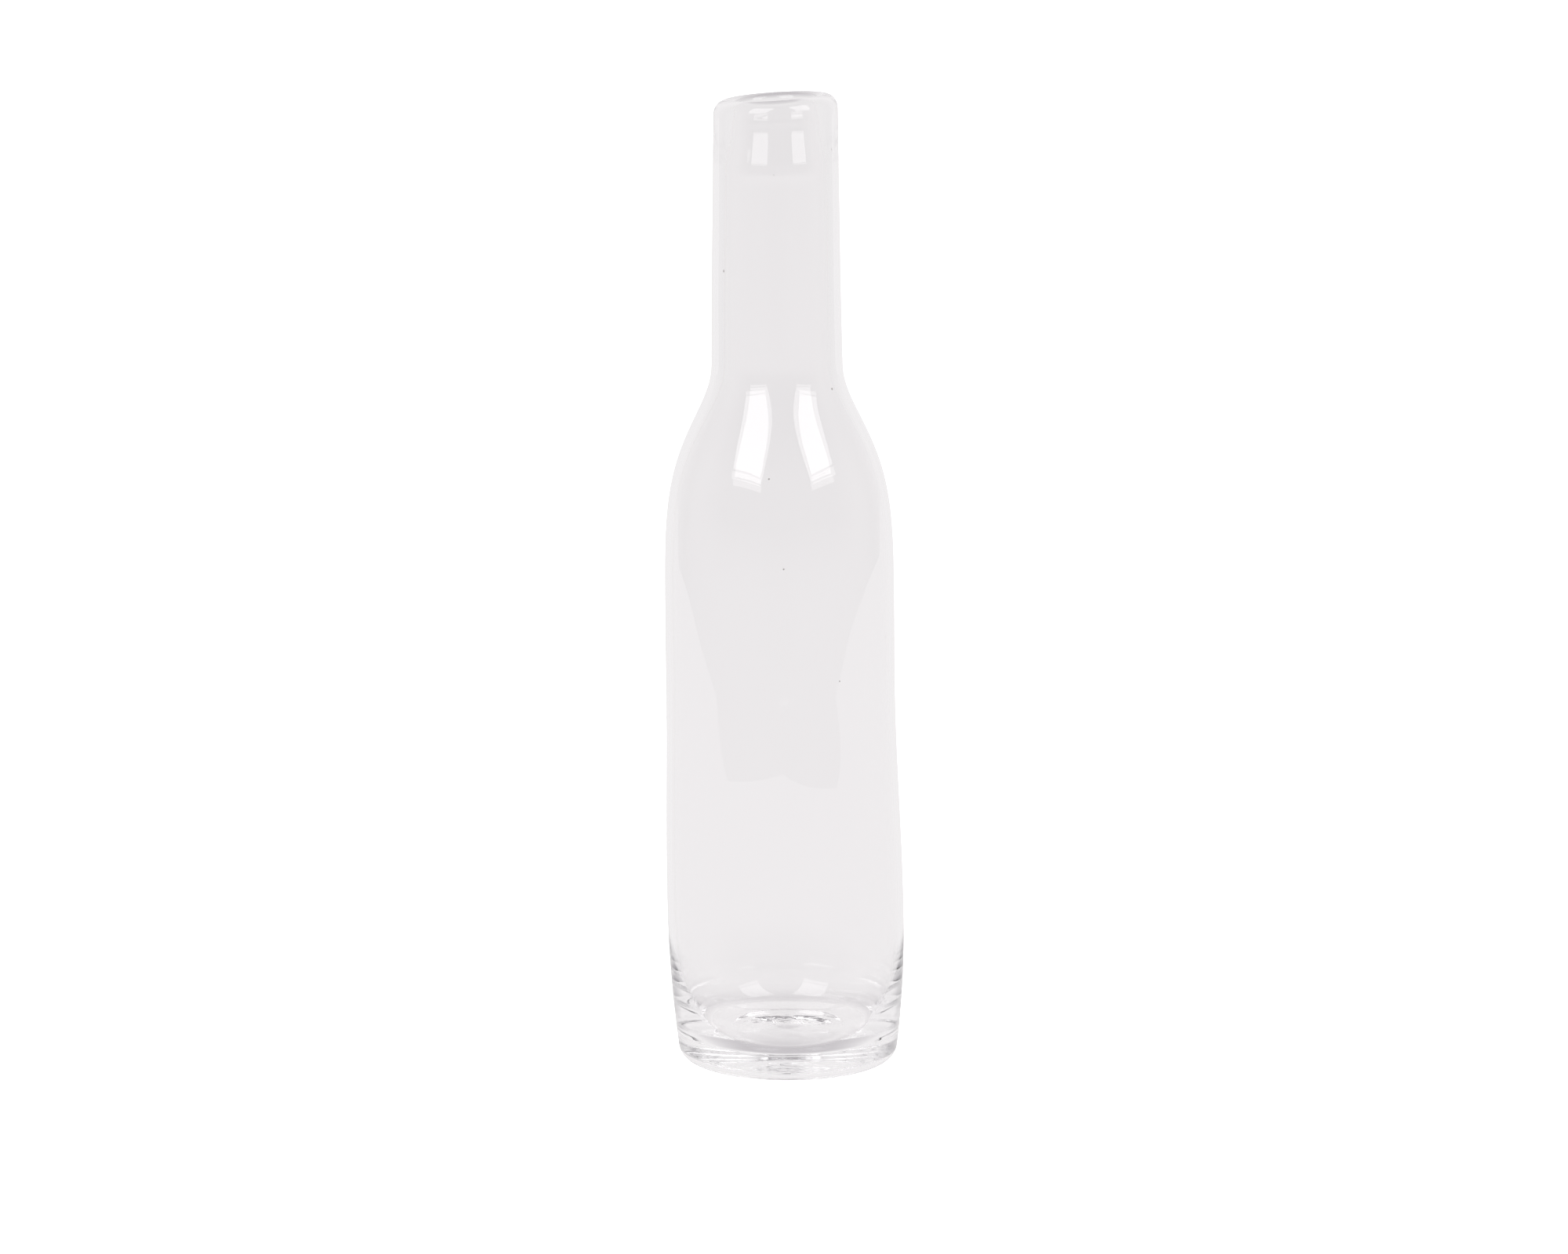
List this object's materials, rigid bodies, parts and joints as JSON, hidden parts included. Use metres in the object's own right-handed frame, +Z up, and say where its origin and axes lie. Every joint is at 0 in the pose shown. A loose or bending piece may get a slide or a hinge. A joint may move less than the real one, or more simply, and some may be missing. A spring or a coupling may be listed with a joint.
{
  "type": "bud vase",
  "caption": "Slim mouth-blown clear glass bud vase: a bottle shape with a straight neck, a rounded shoulder, a thick solid foot and an open mouth for one or a few stems.",
  "frame": {"origin": "on the surface the vase stands on, in the middle of its footprint box", "axes": "+Z up along the vase, -X to the side that its axis leans to and where its lip is lowest, -Y towards the front"},
  "size_m": [0.059, 0.059, 0.2417],
  "materials": {
    "glass": "clear, fire-polished"
  },
  "bodies": {
    "root": {"rim": "glass", "neck": "glass", "shoulder": "glass", "body": "glass", "base": "glass"}
  },
  "joints": []
}
